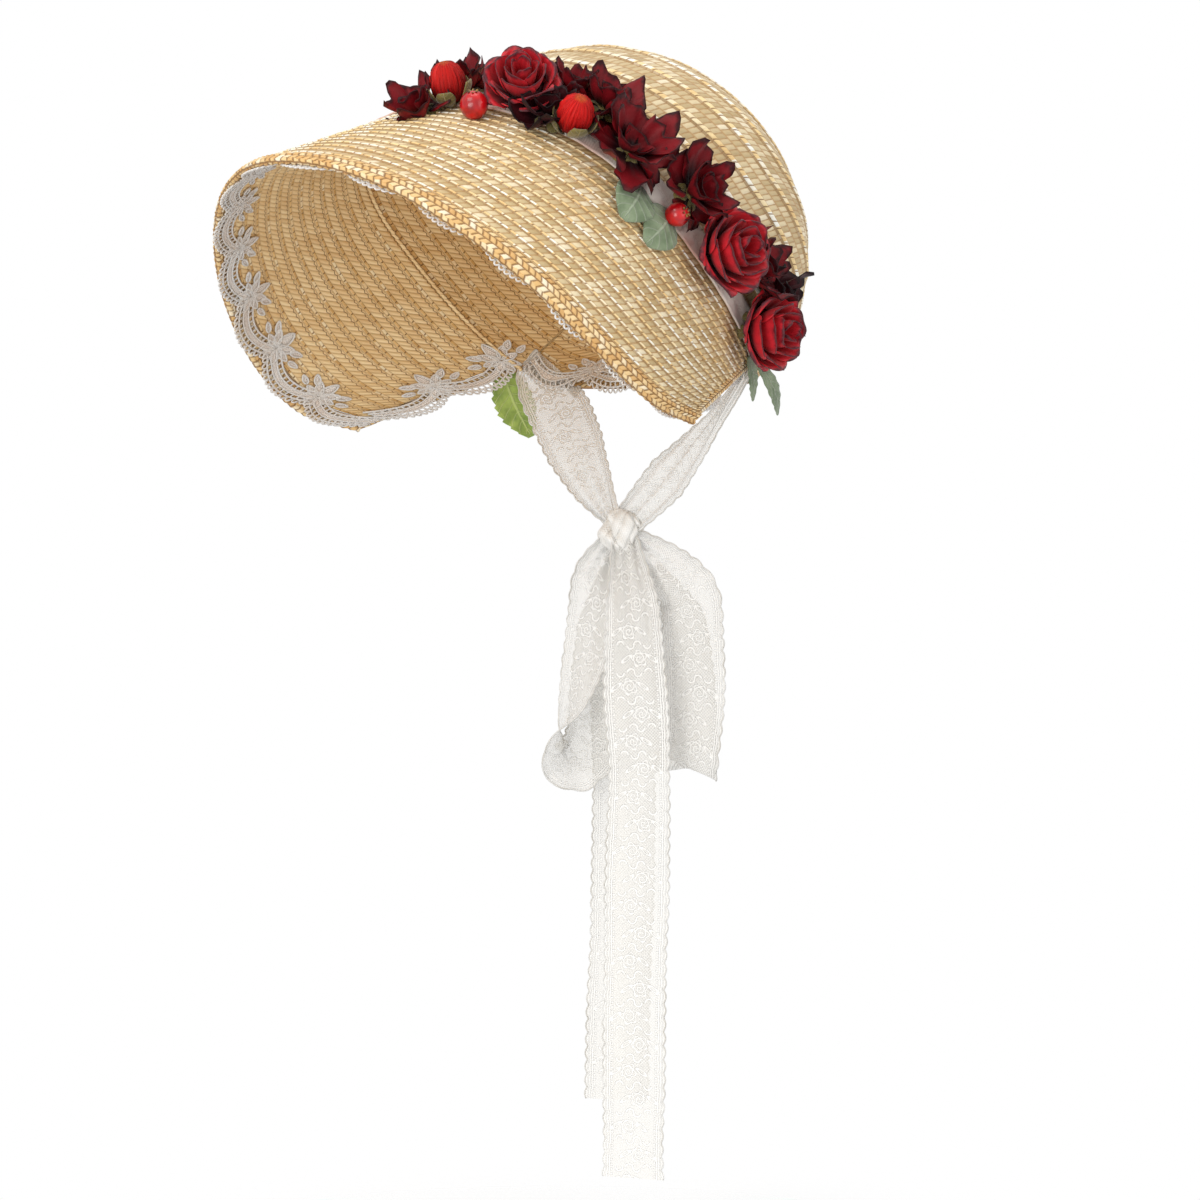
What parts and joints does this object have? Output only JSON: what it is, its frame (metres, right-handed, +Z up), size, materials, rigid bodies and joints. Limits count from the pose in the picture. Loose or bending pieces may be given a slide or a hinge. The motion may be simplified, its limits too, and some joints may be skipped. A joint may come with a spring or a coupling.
{
  "type": "straw bonnet",
  "caption": "Straw bonnet with a rounded crown, a wide flared brim with lace inside its edge, a flower garland on the band and a tied lace ribbon bow with long ends.",
  "frame": {"origin": "middle of the band loop between brim and crown, where the head sits", "axes": "+X to the wearer's left, -Y the way the wearer faces, +Z up; the ribbon hangs straight down along -Z"},
  "size_m": [0.2452, 0.3032, 0.5322],
  "materials": {
    "straw": "satin",
    "straw_braid": "satin",
    "band_cloth": "matte",
    "lace": "matte",
    "lace_ribbon": "matte",
    "rose_petals": "matte",
    "dark_petals": "matte",
    "bud_petals": "matte",
    "berry_skin": "glossy",
    "leaf_green": "matte"
  },
  "bodies": {
    "root": {"brim": "straw", "edge_braid": "straw_braid", "end_binding_near": "straw_braid", "end_binding_far": "straw_braid", "crown": "straw", "nape_binding": "straw_braid", "hat_band": "band_cloth", "lace_trim": "lace", "lace_end_near": "lace", "lace_end_far": "lace", "rose_top": "rose_petals", "rose_side": "rose_petals", "rose_ear": "rose_petals", "rose_far_side": "rose_petals", "bud_top": "bud_petals", "bud_side": "bud_petals", "bud_far": "bud_petals", "berry_top": "berry_skin", "berry_side": "berry_skin", "berry_far": "berry_skin", "bloom_front": "dark_petals", "bloom_top": "dark_petals", "bloom_black_top": "dark_petals", "bloom_crown": "dark_petals", "bloom_upper": "dark_petals", "bloom_middle": "dark_petals", "bloom_side": "dark_petals", "bloom_low": "dark_petals", "bloom_black_low": "dark_petals", "bloom_far_middle": "dark_petals", "bloom_far_side": "dark_petals", "bloom_far_low": "dark_petals", "leaf_round_upper": "leaf_green", "leaf_round_lower": "leaf_green", "leaf_narrow_short": "leaf_green", "leaf_narrow_long": "leaf_green", "leaf_far_ear": "leaf_green", "leaf_far_side": "leaf_green", "knot": "lace_ribbon", "tail_front": "lace_ribbon", "loop_near": "lace_ribbon", "loop_far": "lace_ribbon", "tail_back": "lace_ribbon", "strap_near": "lace_ribbon", "strap_far": "lace_ribbon"}
  },
  "joints": []
}
